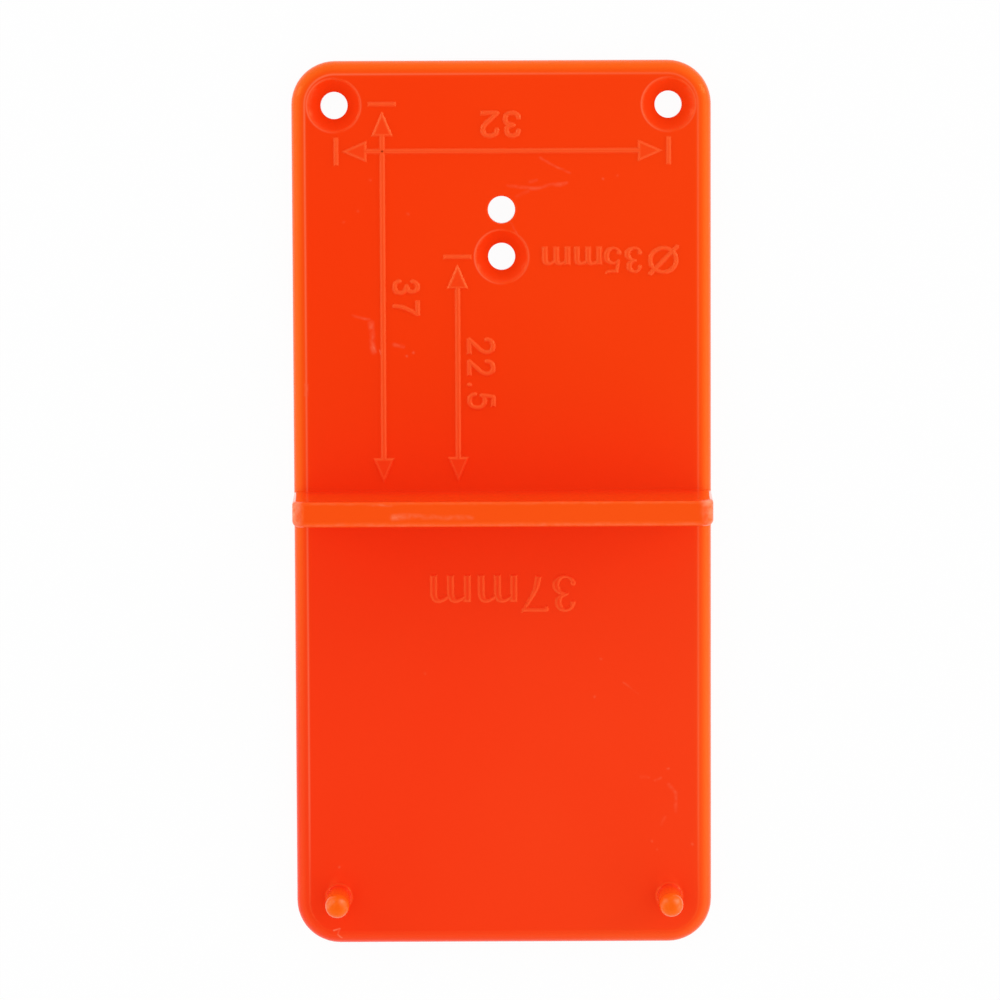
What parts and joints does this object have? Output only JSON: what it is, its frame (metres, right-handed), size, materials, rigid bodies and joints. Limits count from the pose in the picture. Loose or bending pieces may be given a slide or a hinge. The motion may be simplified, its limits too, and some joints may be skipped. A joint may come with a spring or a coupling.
{
  "type": "hinge drilling jig",
  "caption": "Flat moulded drilling jig for concealed cabinet hinges: a plate with a stop fence across it, countersunk guide holes on one side and round locating pins on the other.",
  "frame": {"origin": "middle of the flat back, on the surface that the jig lies on", "axes": "+X across the plate, +Y along it from the pins towards the guide holes, +Z out of the face that carries the fence"},
  "size_m": [0.0402, 0.0852, 0.015],
  "materials": {
    "orange_plastic": "semi-gloss, slightly translucent"
  },
  "bodies": {
    "root": {"jig_plate": "orange_plastic"}
  },
  "joints": []
}
